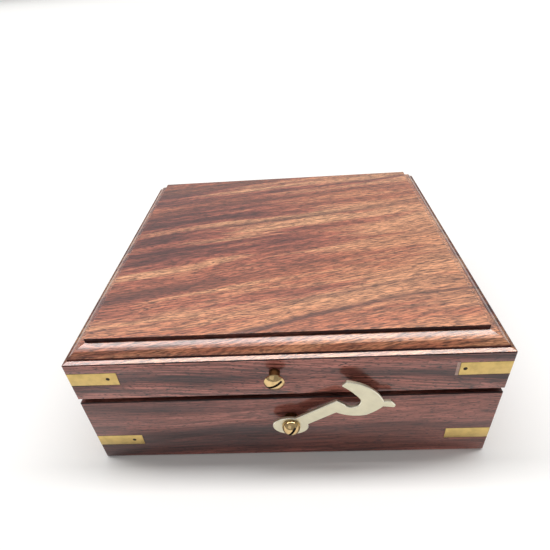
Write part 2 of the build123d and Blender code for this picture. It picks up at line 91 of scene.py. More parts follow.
class MouldingSettings(bpy.types.PropertyGroup):
    """The routed edge of the lid's board."""
    board_edge: FloatProperty(name="Board edge", description="Upright edge below the ledge",
                              default=1.0 * MM, subtype="DISTANCE", unit="LENGTH")
    ledge_width: FloatProperty(name="Ledge", description="Flat from the edge to the quarter round",
                               default=1.4 * MM, subtype="DISTANCE", unit="LENGTH")
    ovolo_width: FloatProperty(name="Quarter round width", description="Across the quarter round",
                               default=3.4 * MM, subtype="DISTANCE", unit="LENGTH")
    ovolo_height: FloatProperty(name="Quarter round height",
                                description="Rise of the quarter round",
                                default=2.8 * MM, subtype="DISTANCE", unit="LENGTH")
    shoulder_width: FloatProperty(name="Shoulder",
                                  description="Flat between quarter round and step",
                                  default=1.15 * MM, subtype="DISTANCE", unit="LENGTH")
    arris: FloatProperty(name="Arris", description="How far sanding rounds an edge",
                         default=0.22 * MM, subtype="DISTANCE", unit="LENGTH")
    shoulder_lean: FloatProperty(name="Shoulder lean",
                                 description="How far the shoulder leans outwards",
                                 default=math.radians(18.5), subtype="ANGLE")
    ledge_fall: FloatProperty(name="Ledge fall",
                              description="How far sanding lowers the ledge's edge",
                              default=0.6 * MM, subtype="DISTANCE", unit="LENGTH")
    edge_width: FloatProperty(name="Ledge edge", description="Width of the ledge's rubbed edge",
                              default=0.25 * MM, subtype="DISTANCE", unit="LENGTH")


class WoodSettings(bpy.types.PropertyGroup):
    """The lacquered rosewood."""
    light: FloatVectorProperty(name="Light figure", description="Light bands of the board",
                               subtype="COLOR", default=linear("#DA9D74"))
    middle: FloatVectorProperty(name="Middle tone", description="Most of the board",
                                subtype="COLOR", default=linear("#A35A47"))
    dark: FloatVectorProperty(name="Dark streaks", description="Dark lines of the board",
                              subtype="COLOR", default=linear("#4A2526"))
    warm: FloatVectorProperty(name="Warm cast", description="Orange areas of the board",
                              subtype="COLOR", default=linear("#C27650"))
    wall_light: FloatVectorProperty(name="Wall light", description="Light bands of the side walls",
                                    subtype="COLOR", default=linear("#AB695C"))
    wall_middle: FloatVectorProperty(name="Wall middle", description="Most of the side walls",
                                     subtype="COLOR", default=linear("#7E443B"))
    wall_dark: FloatVectorProperty(name="Wall dark", description="Dark lines of the side walls",
                                   subtype="COLOR", default=linear("#331A1C"))
    wall_warm: FloatVectorProperty(name="Wall cast", description="Redder areas of the side walls",
                                   subtype="COLOR", default=linear("#804335"))


class BrassSettings(bpy.types.PropertyGroup):
    """The brass pieces. The sizes of slots and heads only say where painted shade lies on them."""
    strap: FloatVectorProperty(name="Strap brass", description="Sanded yellow brass of the straps",
                               subtype="COLOR", default=linear("#D1B473"))
    hook: FloatVectorProperty(name="Hook brass", description="Pale brass plate of the hook",
                              subtype="COLOR", default=linear("#D8D2B9"))
    # A painted highlight on the hook's edge faces
    hook_edge: FloatVectorProperty(name="Hook edge", description="Filed edge of the hook",
                                   subtype="COLOR", default=linear("#FBF7E6"))
    screw: FloatVectorProperty(name="Screw brass", description="Polished heads",
                               subtype="COLOR", default=linear("#E0C08B"))
    pivot_slot: FloatProperty(name="Pivot slot", description="Turn of the slot in the pivot screw",
                              default=math.radians(52), subtype="ANGLE")
    stud_slot: FloatProperty(name="Stud slot", description="Turn of the slot in the latch stud",
                             default=math.radians(28), subtype="ANGLE")
    pivot_head: FloatProperty(name="Pivot head", description="Height of the pivot screw's head",
                              default=2.7 * MM, subtype="DISTANCE", unit="LENGTH")
    stud_head: FloatProperty(name="Stud head", description="Height of the latch stud's head",
                             default=1.7 * MM, subtype="DISTANCE", unit="LENGTH")
    slot_width: FloatProperty(name="Slot", description="Width of a screwdriver slot",
                              default=0.8 * MM, subtype="DISTANCE", unit="LENGTH")
    edge_round: FloatProperty(name="Edge", description="Rounding on the edges of brass plates",
                              default=0.12 * MM, subtype="DISTANCE", unit="LENGTH")


class VelvetSettings(bpy.types.PropertyGroup):
    """The lining."""
    pile: FloatVectorProperty(name="Pile", description="Colour of the velvet's pile",
                              subtype="COLOR", default=linear("#6B0F1A"))
    shade: FloatVectorProperty(name="Shade", description="Colour between the tufts",
                               subtype="COLOR", default=linear("#34060C"))
    cell: FloatProperty(name="Cell", description="Size of the cloth's cells", default=1.8 * MM,
                        subtype="DISTANCE", unit="LENGTH")
    recess_swell: FloatProperty(name="Recess swell", description="How far the recess pad swells",
                                default=0.8 * MM, subtype="DISTANCE", unit="LENGTH")
    lid_swell: FloatProperty(name="Lid swell", description="How far the lid pad swells",
                             default=1.6 * MM, subtype="DISTANCE", unit="LENGTH")


class StageSettings(bpy.types.PropertyGroup):
    """Camera, floor and lights."""
    camera_place: FloatVectorProperty(name="Camera", description="Where the camera stands",
                                      subtype="TRANSLATION", unit="LENGTH",
                                      default=(5.449 * MM, -143.286 * MM, 133.363 * MM))
    camera_yaw: FloatProperty(name="Yaw", description="Turn to the left", subtype="ANGLE",
                              default=math.radians(3.921))
    camera_pitch: FloatProperty(name="Pitch", description="Tilt down", subtype="ANGLE",
                                default=math.radians(35.42))
    camera_roll: FloatProperty(name="Roll", description="Lean to the right", subtype="ANGLE",
                               default=math.radians(4.722))
    camera_lens: FloatProperty(name="Lens", description="Focal length, for a 36 mm sensor",
                               default=28.06)
    floor: FloatVectorProperty(name="Floor", description="Colour of the floor",
                               subtype="COLOR", default=linear("#F4F3F1"))


# Working by hand in the mesh


def begin(obj, mode="EDIT"):
    """Make obj the only selected and active object, in a mode and with nothing selected in it."""
    if bpy.context.object and bpy.context.object.mode != "OBJECT":
        bpy.ops.object.mode_set(mode="OBJECT")
    bpy.ops.object.select_all(action="DESELECT")
    obj.select_set(True)
    bpy.context.view_layer.objects.active = obj
    if mode == "EDIT":
        bpy.ops.object.mode_set(mode="EDIT")
        bpy.ops.mesh.select_all(action="DESELECT")


def end():
    """Back to object mode."""
    bpy.ops.object.mode_set(mode="OBJECT")


def pick(obj, kind, test):
    """Select the faces or edges of the mesh in edit mode that pass a test; return how many."""
    mesh = bmesh.from_edit_mesh(obj.data)
    bpy.ops.mesh.select_mode(type="FACE" if kind == "faces" else "EDGE")
    chosen = [e for e in getattr(mesh, kind) if test(e)]
    for element in chosen:
        element.select = True
    mesh.select_flush_mode()
    bmesh.update_edit_mesh(obj.data)
    return len(chosen)


def add_block(name, low, high):
    """A cube primitive between two corners, its place in its mesh."""
    bpy.ops.object.select_all(action="DESELECT")
    centre = (Vector(low) + Vector(high)) / 2
    size = Vector(high) - Vector(low)
    bpy.ops.mesh.primitive_cube_add(size=1, location=centre, scale=size)
    obj = bpy.context.object
    obj.name = name
    bpy.ops.object.transform_apply(location=True, rotation=True, scale=True)
    return obj


def merged_copy(node, name):
    """A CAD node's solid as a new piece: triangles merged, flat faces joined, sharp edges kept."""
    bpy.ops.object.select_all(action="DESELECT")
    obj = bpy.data.objects.new(name, NODES[node].data.copy())
    bpy.context.scene.collection.objects.link(obj)
    obj.data.materials.clear()
    begin(obj)
    bpy.ops.mesh.select_all(action="SELECT")
    bpy.ops.mesh.remove_doubles(threshold=0.001 * MM)
    bpy.ops.mesh.dissolve_limited(angle_limit=math.radians(0.5))
    bpy.ops.mesh.customdata_custom_splitnormals_clear()
    bpy.ops.mesh.select_all(action="DESELECT")
    end()
    return obj


def face_centre(face):
    """The middle of a face."""
    return face.calc_center_median()


def span(edge):
    """How far an edge reaches along X and along Y."""
    one, other = edge.verts
    return abs(one.co.x - other.co.x), abs(one.co.y - other.co.y)


def smooth(obj, angle=35):
    """Smooth shading up to an angle."""
    begin(obj, "OBJECT")
    bpy.ops.object.shade_smooth_by_angle(angle=math.radians(angle))


def ease_edges(obj, width, test, segments=2):
    """Round the sharp edges that pass a test."""
    begin(obj)
    found = pick(obj, "edges", lambda e: len(e.link_faces) == 2
                 and e.calc_face_angle(0) > math.radians(25) and test(e))
    if found:
        bpy.ops.mesh.bevel(offset=width, segments=segments, affect="EDGES", clamp_overlap=True)
    end()


def apply_all(obj):
    """Apply the modifiers in order."""
    begin(obj, "OBJECT")
    for modifier in list(obj.modifiers):
        bpy.ops.object.modifier_apply(modifier=modifier.name)


def stuffed_pad(node, glued, swell, cell):
    """A pad of velvet over stuffing, in the space of its CAD solid.

    It starts flatter than the solid, is blown up as cloth and is held at the face that is glued
    down: 0 is its lowest, 1 its highest.
    """
    pressure = 4.0
    quality = 6
    last_frame = 20
    pad = merged_copy(node, node + "_stuffed")
    low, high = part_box(node)
    held = (low, high)[glued].z
    thinner = 1 - swell / (high.z - low.z)
    begin(pad)
    bpy.ops.mesh.select_all(action="SELECT")
    bpy.ops.transform.resize(value=(1, 1, thinner), center_override=(0, 0, held))
    end()
    voxels = pad.modifiers.new("voxels", "REMESH")
    voxels.mode = "VOXEL"
    voxels.voxel_size = cell
    voxels.use_smooth_shade = True
    apply_all(pad)
    start = [v.co.copy() for v in pad.data.vertices]
    group = pad.vertex_groups.new(name="glued")
    near = [v.index for v in pad.data.vertices if abs(v.co.z - held) < cell / 3]
    group.add(near, 1.0, "REPLACE")
    cloth = pad.modifiers.new("cloth", "CLOTH")
    cloth.settings.vertex_group_mass = "glued"
    cloth.settings.use_pressure = True
    cloth.settings.uniform_pressure_force = pressure
    cloth.settings.quality = quality
    cloth.settings.effector_weights.gravity = 0
    for frame_number in range(1, last_frame + 1):
        bpy.context.scene.frame_set(frame_number)
    apply_all(pad)
    bpy.context.scene.frame_set(1)
    pad.vertex_groups.clear()
    # Scale what the cloth moved, so that no point moves further than the set swell
    moved = [v.co - place for v, place in zip(pad.data.vertices, start)]
    furthest = max(step.length for step in moved)
    share = min(1.0, swell / furthest) if furthest > 0 else 0.0
    for vertex, place, step in zip(pad.data.vertices, start, moved):
        vertex.co = place + step * share
        for axis in range(3):
            vertex.co[axis] = min(max(vertex.co[axis], low[axis]), high[axis])
    finer = pad.modifiers.new("finer", "SUBSURF")
    finer.levels = finer.render_levels = 1
    apply_all(pad)
    return pad


def dress(obj, body, slot, material, *replaced):
    """Ride on a body, stand for CAD nodes and wear a finish."""
    obj.data.materials.clear()
    obj.data.materials.append(material)
    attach(obj, body)
    if replaced:
        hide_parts(*replaced)


def second_finish(obj, material, test):
    """Give the faces that pass a test a further finish."""
    obj.data.materials.append(material)
    obj.active_material_index = len(obj.data.materials) - 1
    begin(obj)
    pick(obj, "faces", test)
    bpy.ops.object.material_slot_assign()
    end()


def paint(node, material):
    """Give a CAD node that stays a better finish."""
    mesh = NODES[node].data
    mesh.materials.clear()
    mesh.materials.append(material)


# Finishes


def feed(tree, node, inputs):
    """Set a node's inputs to numbers or colours, or link the outputs that feed it."""
    for key, value in inputs.items():
        if isinstance(value, bpy.types.NodeSocket):
            tree.links.new(value, node.inputs[key])
        else:
            node.inputs[key].default_value = value


def add_node(tree, kind, inputs=None, **settings):
    """Add a node with its own settings and its inputs."""
    made = tree.nodes.new(kind)
    for key, value in settings.items():
        setattr(made, key, value)
    feed(tree, made, inputs or {})
    return made


def number_math(tree, operation, first, second):
    """The result of an operation on two numbers."""
    return add_node(tree, "ShaderNodeMath", {0: first, 1: second}, operation=operation).outputs[0]


def vector_math(tree, operation, *vectors, result="Vector"):
    """The result of an operation on one or two vectors."""
    made = add_node(tree, "ShaderNodeVectorMath", dict(enumerate(vectors)), operation=operation)
    return made.outputs[result]


def noise(tree, place, scale, detail, roughness=0.5, result="Fac"):
    """Cloudy noise over a place."""
    return add_node(tree, "ShaderNodeTexNoise", {
        "Vector": place, "Scale": scale, "Detail": detail, "Roughness": roughness}).outputs[result]


def fit(tree, value, source, target):
    """A number mapped from one range to another, and held within it."""
    return add_node(tree, "ShaderNodeMapRange", {
        "Value": value, "From Min": source[0], "From Max": source[1],
        "To Min": target[0], "To Max": target[1]}).outputs["Result"]


def ramp(tree, value, stops):
    """A number as a colour between stops."""
    made = add_node(tree, "ShaderNodeValToRGB", {"Fac": value})
    elements = made.color_ramp.elements
    for i, (place, colour) in enumerate(stops):
        element = elements[i] if i < len(elements) else elements.new(place)
        element.position = place
        element.color = colour
    return made.outputs["Color"]


def mix(tree, share, first, second):
    """The first colour with a share of the second."""
    return add_node(tree, "ShaderNodeMix", {"Factor": share, 6: first, 7: second},
                    data_type="RGBA").outputs[2]


def bump(tree, height, strength, distance):
    """A normal that follows a height."""
    return add_node(tree, "ShaderNodeBump", {
        "Height": height, "Strength": strength, "Distance": distance}).outputs["Normal"]


def new_finish(name):
    """An empty node material, its tree and its shader."""
    material = bpy.data.materials.new(name)
    material.use_nodes = True
    tree = material.node_tree
    tree.nodes.clear()
    shader = add_node(tree, "ShaderNodeBsdfPrincipled")
    add_node(tree, "ShaderNodeOutputMaterial", {"Surface": shader.outputs["BSDF"]})
    return material, tree, shader


def object_place(tree):
    """The object coordinates, in metres."""
    return add_node(tree, "ShaderNodeTexCoord").outputs["Object"]


def in_millimetres(tree, place, turn=(0, 0, 0), shift=(0, 0, 0)):
    """A place in millimetres, turned and then shifted."""
    return add_node(tree, "ShaderNodeMapping", {
        "Vector": place, "Scale": (1 / MM, 1 / MM, 1 / MM), "Rotation": turn,
        "Location": shift}).outputs["Vector"]


def darker(share, *tones):
    """Tones with a share of their light, for painted shade and for end grain."""
    return [tuple(share * channel for channel in tone) for tone in tones]


def grey(value):
    """A neutral stop of a ramp."""
    return (value, value, value, 1.0)


def rosewood(name, tones, turn=(0, 0, 0), shift=(0, 0, 0), band=6.5, fleck_length=4.2,
             fleck_width=0.42, grain=1.0, lean=(0, 0, 0), fade=(0, 0, 0), level=0.0,
             shine=0.9, haze=0.15):
    """Indian rosewood, sanded and sprayed with satin lacquer.

    Growth rings round a heart that lies well to one side give bands and thin dark lines along the
    grain and slanting arcs on the ends. Short flecks and pores run a few degrees across them, and
    the lacquer lies over it with a soft gloss. The grain runs along X before turn. Sizes are in
    millimetres. Lean is how fast the board turns warmer along each axis, and fade how fast its
    figure turns lighter; level moves the whole figure darker. Shine is the lacquer's share, haze
    the milky share under it.
    """
    light, middle, dark, warm = [(*tone, 1.0) for tone in tones]
    material, tree, shader = new_finish(name)
    place = object_place(tree)
    position = in_millimetres(tree, place, turn, shift)
    along = add_node(tree, "ShaderNodeSeparateXYZ", {0: position}).outputs["X"]

    def stretched(source, length, width, detail, roughness, result="Fac"):
        """Noise stretched along the grain: sizes in millimetres."""
        spot = vector_math(tree, "MULTIPLY", source, (1 / length, 1 / width, 1 / width))
        return noise(tree, spot, 1.0, detail, roughness, result)

    def sloped(figure, slope):
        """A figure that grows along a slope, by so much a metre."""
        rise = vector_math(tree, "DOT_PRODUCT", place, slope, result="Value")
        return number_math(tree, "ADD", figure, rise)

    # The grain wanders by a millimetre or two over the length of the board
    wander = stretched(position, 85, 34, 2.0, 0.5, "Color")
    centred = vector_math(tree, "SUBTRACT", wander, (0.5, 0.5, 0.5))
    spread = vector_math(tree, "MULTIPLY", centred, (0, 7.5, 7.5))
    wavy = vector_math(tree, "ADD", position, spread)
    # Distance from the heart, 150 mm to one side and 90 mm below
    from_heart = vector_math(tree, "ADD", wavy, (0, 150, 90))
    across = vector_math(tree, "MULTIPLY", from_heart, (0, 1, 1))
    ring = vector_math(tree, "LENGTH", across, result="Value")
    ringed = add_node(tree, "ShaderNodeCombineXYZ", {0: along, 1: ring}).outputs[0]

    figure = stretched(ringed, band * 17, band, 5.0, 0.6)
    ground = ramp(tree, sloped(figure, fade), [
        (0.38 + level, tuple(0.8 * d + 0.2 * m for d, m in zip(dark, middle))),
        (0.47 + level, middle), (0.57 + level, light)])
    cast = stretched(wavy, 120, 30, 2.0, 0.5)
    warmed = mix(tree, fit(tree, sloped(cast, lean), (0.4, 0.62), (0.0, 0.6)), ground, warm)
    # Thin dark lines where a ring ends
    line = stretched(ringed, band * 34, band * 0.55, 2.0, 0.45)
    line_mask = ramp(tree, line, [
        (0.30, grey(0.75)), (0.40, grey(0.2)), (0.46, grey(0.0)), (0.585, grey(0.0)),
        (0.605, grey(0.5)), (0.625, grey(0.0))])
    lined = mix(tree, line_mask, warmed, dark)
    # Flecks, drawn 0.3 mm and more wide so that they show
    fleck = stretched(wavy, fleck_length, fleck_width, 3.0, 0.62)
    fleck_tone = fit(tree, fleck, (0.38, 0.62), (1.0 - 0.55 * grain, 1.0 + 0.42 * grain))
    toned = add_node(tree, "ShaderNodeVectorMath", {0: lined, "Scale": fleck_tone},
                     operation="SCALE").outputs[0]
    # Pores: dark dashes, drawn 0.3 mm wide, 7 degrees across the bands
    turned = add_node(tree, "ShaderNodeVectorRotate", {"Vector": wavy, "Angle": math.radians(7)},
                      rotation_type="Z_AXIS").outputs[0]
    pore = stretched(turned, 2.2, 0.3, 1.0, 0.5)
    pore_mask = ramp(tree, pore, [(0.58, grey(0.0)), (0.68, grey(0.7 * grain))])
    pored = mix(tree, pore_mask, toned, (*[c * 0.6 for c in dark[:3]], 1.0))
    relief = number_math(tree, "SUBTRACT", fleck, pore_mask)
    depth = 0.04 * MM
    feed(tree, shader, {
        "Base Color": pored,
        "Roughness": fit(tree, fleck, (0.3, 0.7), (0.55, 0.42)),
        "Normal": bump(tree, relief, 0.2, depth),
        "Specular IOR Level": haze,
        "Coat Weight": shine,
        "Coat IOR": 1.6,
        "Coat Roughness": 0.13,
        # The lacquer fills most of the relief
        "Coat Normal": bump(tree, relief, 0.06, depth)})
    return material


def sanded_brass(name, colour, roughness, scratch_turn=0.0, rubbed=0.35):
    """Rolled brass plate, sanded and rubbed: fine straight scratches and faint tarnish clouds.

    Rubbed is how much of the tarnish is rubbed off: at 1 there is none.
    """
    material, tree, shader = new_finish(name)
    position = in_millimetres(tree, object_place(tree), (0, scratch_turn, 0))
    dull = tuple(c * 0.72 for c in colour)
    clouded = [d * (1 - rubbed) + c * rubbed for d, c in zip(dull, colour)]
    bright = [min(1.0, c * 1.06) for c in colour]
    # Scratches 6 mm long, drawn 0.15 mm apart
    scratch_place = vector_math(tree, "MULTIPLY", position, (1 / 6, 1 / 0.15, 1 / 0.15))
    scratches = noise(tree, scratch_place, 1.0, 3.0, 0.65)
    feed(tree, shader, {
        "Base Color": ramp(tree, noise(tree, position, 0.35, 4.0, 0.6), [
            (0.35, (*clouded, 1.0)), (0.55, (*colour, 1.0)), (0.8, (*bright, 1.0))]),
        "Roughness": fit(tree, scratches, (0.3, 0.7), (roughness * 0.8, roughness * 1.25)),
        "Normal": bump(tree, scratches, 0.25, 0.02 * MM),
        "Metallic": 1.0})
    return material


def polished_brass(name, colour):
    """Turned and buffed brass: clear reflections and faint clouds."""
    material, tree, shader = new_finish(name)
    clouds = noise(tree, in_millimetres(tree, object_place(tree)), 0.9, 3.0)
    feed(tree, shader, {
        "Base Color": ramp(tree, clouds, [
            (0.35, (*[c * 0.8 for c in colour], 1.0)), (0.6, (*colour, 1.0))]),
        "Roughness": fit(tree, clouds, (0.3, 0.7), (0.06, 0.14)),
        "Metallic": 1.0})
    return material


def velvet(name, pile, shade):
    """Cotton velvet: dense short pile, dark when looked into and pale where it leans away."""
    material, tree, shader = new_finish(name)
    position = in_millimetres(tree, object_place(tree))
    # Tufts, drawn 0.5 mm wide so that they show
    tufts = noise(tree, position, 2.0, 3.0, 0.7)
    brushed = noise(tree, position, 0.06, 3.0)
    feed(tree, shader, {
        "Base Color": ramp(tree, number_math(tree, "ADD", tufts, brushed), [
            (0.62, (*shade, 1.0)), (1.0, (*pile, 1.0))]),
        "Normal": bump(tree, tufts, 0.6, 0.25 * MM),
        "Roughness": 0.9,
        "Sheen Weight": 0.8,
        "Sheen Roughness": 0.35,
        "Sheen Tint": (*[min(1.0, p * 3 + 0.12) for p in pile], 1.0)})
    return material


def dull_surface(name, colour, roughness, metallic=0.0):
    """Filed steel, glue, filler and painted shade: matt, with small blotches."""
    material, tree, shader = new_finish(name)
    blotches = noise(tree, in_millimetres(tree, object_place(tree)), 1.5, 3.0)
    feed(tree, shader, {
        "Base Color": ramp(tree, blotches, [
            (0.35, (*[c * 0.7 for c in colour], 1.0)), (0.65, (*colour, 1.0))]),
        "Normal": bump(tree, blotches, 0.4, 0.05 * MM),
        "Roughness": roughness,
        "Metallic": metallic})
    return material


def plain_floor(name, colour):
    """Matt white paint: even and without a sheen."""
    material, tree, shader = new_finish(name)
    feed(tree, shader, {
        "Base Color": (*colour, 1.0),
        "Roughness": 0.95,
        "Specular IOR Level": 0.1})
    return material


# The pieces


def rout_moulding(shape):
    """Raise the moulding from the selected top face, ring by ring, in edit mode."""
    ovolo_rings = 12
    arris_rings = 3
    # The ledge falls to its rubbed edge
    bpy.ops.mesh.inset(thickness=shape.edge_width, depth=shape.edge_width)
    bpy.ops.mesh.inset(thickness=shape.ledge_width - shape.edge_width,
                       depth=shape.ledge_fall - shape.edge_width)
    # The quarter round, an ellipse's arc from upright to the lean of the shoulder
    shoulder_fall = shape.shoulder_width * math.tan(shape.shoulder_lean)
    rise = shape.ovolo_height - shoulder_fall
    lean = math.tan(shape.shoulder_lean) * shape.ovolo_width / rise
    last = math.acos(lean / (1 - lean))
    turns = [last * k / ovolo_rings for k in range(ovolo_rings + 1)]
    reach = [(shape.ovolo_width * (1 - math.cos(turn)) / (1 - math.cos(last)),
              rise * math.sin(turn) / math.sin(last)) for turn in turns]
    for (x0, z0), (x1, z1) in zip(reach, reach[1:]):
        bpy.ops.mesh.inset(thickness=x1 - x0, depth=z1 - z0)
    bpy.ops.mesh.inset(thickness=shape.shoulder_width, depth=shoulder_fall)
    # The step up to the field, its arris rounded by sanding
    step = BOARD_HIGH.z - (BOARD_LOW.z + shape.board_edge + shape.ovolo_height)
    bpy.ops.mesh.inset(thickness=0, depth=step - shape.arris)
    for k in range(arris_rings):
        a0 = math.pi / 2 * k / arris_rings
        a1 = math.pi / 2 * (k + 1) / arris_rings
        bpy.ops.mesh.inset(thickness=shape.arris * (math.cos(a0) - math.cos(a1)),
                           depth=shape.arris * (math.sin(a1) - math.sin(a0)))


class BOX_OT_lid_board(bpy.types.Operator):
    """Rout the moulding round the lid's board"""
    bl_idname = "compass_box.lid_board"
    bl_label = "Lid board"

    def execute(self, context):
        shape = context.scene.compass_box_moulding
        wood = context.scene.compass_box_wood
        edge_top = BOARD_LOW.z + shape.board_edge - shape.ledge_fall
        board = add_block("moulded_lid_board", BOARD_LOW, (BOARD_HIGH.x, BOARD_HIGH.y, edge_top))
        begin(board)
        pick(board, "faces", lambda f: f.normal.z > FLAT)
        rout_moulding(shape)
        end()
        # Its four upright corners
        ease_edges(board, 0.5 * MM, lambda e: max(span(e)) < SAME
                   and abs(abs(e.verts[0].co.x) - SIDE) < 10 * SAME, segments=3)
        # The mitres and the rubbed edge stay crisp, so that each face keeps its own lean
        rubbed = edge_top + shape.edge_width
        begin(board)
        pick(board, "edges", lambda e: min(span(e)) > SAME
             or all(abs(v.co.z - rubbed) < SAME for v in e.verts))
        bpy.ops.mesh.mark_sharp()
        end()
        smooth(board, 40)

        tones = (wood.light, wood.middle, wood.dark, wood.warm)
        # Its figure runs 11 degrees off the front edge
        cut = {"turn": (0, 0, math.radians(-11)), "shift": (31, 12, 0)}
        finish = rosewood("rosewood_board", tones, **cut, grain=1.15, lean=(1.4, -1.6, 0),
                          fade=(1.6, -0.8, 0), shine=0.66, haze=0.8)
        # Painted shade for the quarter round's leaning faces
        quarter_round_shade = rosewood("rosewood_quarter_round", darker(0.6, *tones), **cut, shine=0.6)
        # End grain, with painted shade on the sides of the ledge
        end_grain_and_shade = rosewood("rosewood_end_grain", darker(0.4, *tones), **cut, shine=0.6)
        # Painted deep shade for the step and the quarter round's steep foot, with little gloss
        step_shade = rosewood("rosewood_cutter_burn",
                         darker(0.4, wood.middle, wood.dark, wood.dark, wood.dark),
                         turn=cut["turn"], shine=0.15, haze=0.05)
        dress(board, "lid", "rosewood_board", finish, "lid_top_board")
        # Painted shade: the quarter round's leaning faces are darkened, and its steep foot and the
        # step are darkened more
        foot = BOARD_LOW.z + shape.board_edge
        below_field = BOARD_HIGH.z - 1 * MM
        second_finish(board, quarter_round_shade, lambda f: STEEP <= f.normal.z < FLAT
                      and foot < face_centre(f).z < below_field)
        second_finish(board, step_shade, lambda f: abs(f.normal.z) < STEEP and face_centre(f).z > foot)
        # The ledge's short sides are end grain, which drinks more colour, and are painted darker
        # still as shade
        second_finish(board, end_grain_and_shade, lambda f: abs(f.normal.x) > 0.15
                      and FLAT <= f.normal.z < 0.99 and face_centre(f).z < foot)
        # Its upright edge is planed and stained with the walls
        for name, axis in (("rosewood_lid_long", 1), ("rosewood_lid_short", 0)):
            second_finish(board, bpy.data.materials[name], lambda f: face_centre(f).z < foot
                          and abs(f.normal.z) < 0.5 and abs(f.normal[axis]) > 0.6)
        # Painted shade on its rubbed edge
        second_finish(board, bpy.data.materials["rosewood_stained_edge"],
                      lambda f: 0.6 < f.normal.z < 0.8 and face_centre(f).z < foot)
        return {"FINISHED"}


def on_outside(edge):
    """An edge of a wall that a hand would sand: long, and on the box's outer faces."""
    skin = 1.3 * MM
    middle = (edge.verts[0].co + edge.verts[1].co) / 2
    outside = abs(middle.x) > SIDE - skin or middle.y < FRONT + skin or middle.y > BACK - skin
    return outside and edge.calc_length() > 4 * MM


class BOX_OT_walls(bpy.types.Operator):
    """Sand the arrises of the mitred walls and lacquer them"""
    bl_idname = "compass_box.walls"
    bl_label = "Walls and bottom"

    def execute(self, context):
        wood = context.scene.compass_box_wood
        tones = (wood.wall_light, wood.wall_middle, wood.wall_dark, wood.wall_warm)
        # Painted shade in the gap between lid and base: lighter on the flat rims, darker on the
        # chamfers
        rim_shade = rosewood("rosewood_rim", darker(0.5, *tones), turn=(0, 0, math.radians(3)), shine=0.3)
        edge_shade_tones = (wood.wall_middle, wood.wall_dark, wood.wall_dark, wood.wall_dark)
        edge = rosewood("rosewood_stained_edge", darker(0.4, *edge_shade_tones), shine=0.2)
        sanded = 0.15 * MM
        gap_low = BASE_HIGH.z - 0.8 * MM
        gap_high = BOARD_LOW.z - 1 * MM
        # Lid and base are cut from two boards. The base's figure is painted darker towards its foot,
        # as shade near the floor
        for level, body, seed, tilt, cut in (
                ("lid", "lid", 40, -4, {"band": 4.5, "grain": 1.4}),
                ("base", "case", 0, 2, {"band": 9.0, "fade": (0, 0, 6.0), "level": 0.115})):
            look = {"fleck_length": 20, "fleck_width": 0.33, "shine": 0.66, **cut}
            along = rosewood("rosewood_%s_long" % level, tones, (0, math.radians(tilt), 0),
                             (seed, 17 + seed, 3), **look)
            across = rosewood("rosewood_%s_short" % level, tones, (0, 0, math.pi / 2),
                              (seed, 90, 8), **look)
            for side in ("front", "back", "left", "right"):
                node = "%s_%s_wall" % (level, side)
                wall = merged_copy(node, node + "_sanded")
                ease_edges(wall, sanded, on_outside)
                smooth(wall)
                finish = along if side in ("front", "back") else across
                dress(wall, body, "rosewood_walls", finish, node)
                # Painted shade on the chamfers of the gap, lighter painted shade on the flat rims
                # inside it
                for shade_finish, least, most in ((edge, 0.15, 0.95), (rim_shade, 0.95, 1.01)):
                    second_finish(wall, shade_finish, lambda f: least < abs(f.normal.z) < most
                                  and gap_low < face_centre(f).z < gap_high)
        panel = merged_copy("base_bottom_panel", "bottom_panel_sanded")
        ease_edges(panel, sanded, lambda e: True)
        smooth(panel)
        finish = rosewood("rosewood_panel", tones, shift=(5, 60, 0))
        dress(panel, "case", "rosewood_panel", finish, "base_bottom_panel")
        return {"FINISHED"}


class BOX_OT_straps(bpy.types.Operator):
    """Let in the brass corner straps, their pins and the filler"""
    bl_idname = "compass_box.straps"
    bl_label = "Corner straps"

    def execute(self, context):
        brass = context.scene.compass_box_brass
        finish = sanded_brass("sanded_strap_brass", tuple(brass.strap), 0.38)
        steel = dull_surface("filed_steel_pin", linear("#2E251C"), 0.5, 0.8)
        glue = dull_surface("dark_glue_line", linear("#2A1712"), 0.6)
        for level, body in (("lid", "lid"), ("base", "case")):
            for fb in ("front", "back"):
                for lr in ("left", "right"):
                    node = "%s_strap_%s_%s" % (level, fb, lr)
                    strap = merged_copy(node, node + "_filed")
                    ease_edges(strap, brass.edge_round, lambda e: e.calc_length() > 2 * MM)
                    smooth(strap)
                    dress(strap, body, "strap_brass", finish, node)
                    # Old glue fills the rounded upper and end edges
                    second_finish(strap, glue, lambda f: f.normal.z > 0.3 or (
                        abs(f.normal.z) < 0.3 and 0.3 < abs(f.normal.x) < 0.95
                        and abs(f.normal.y) < 0.95 and abs(face_centre(f).x) < SIDE - 2 * MM))
            node = level + "_strap_pins"
            pins = merged_copy(node, node + "_filed")
            smooth(pins)
            dress(pins, body, "steel_pins", steel, node)
            if level == "base":
                # One pin is brass, filed away into the strap
                second_finish(pins, finish, lambda f: face_centre(f).x > 0 and face_centre(f).y < 0)
        paint("lid_strap_filler", dull_surface("dried_filler", linear("#B99A8E"), 0.7))
        return {"FINISHED"}


class BOX_OT_hook(bpy.types.Operator):
    """Finish the anchor hook, with a painted highlight on its edge faces"""
    bl_idname = "compass_box.hook"
    bl_label = "Anchor hook"

    def execute(self, context):
        brass = context.scene.compass_box_brass
        hook = merged_copy("anchor_hook", "anchor_hook_filed")
        smooth(hook, 30)
        along_shank = math.radians(-30)
        finish = sanded_brass("filed_hook_brass", tuple(brass.hook), 0.42, along_shank, rubbed=0.75)
        bright = sanded_brass("bright_hook_edge", tuple(brass.hook_edge), 0.3, along_shank,
                              rubbed=1.0)
        dress(hook, "hook", "hook_brass", finish, "anchor_hook")
        # Painted highlight on the edge faces that lean to the front
        second_finish(hook, bright, lambda f: -0.97 < f.normal.y < -0.2)
        return {"FINISHED"}


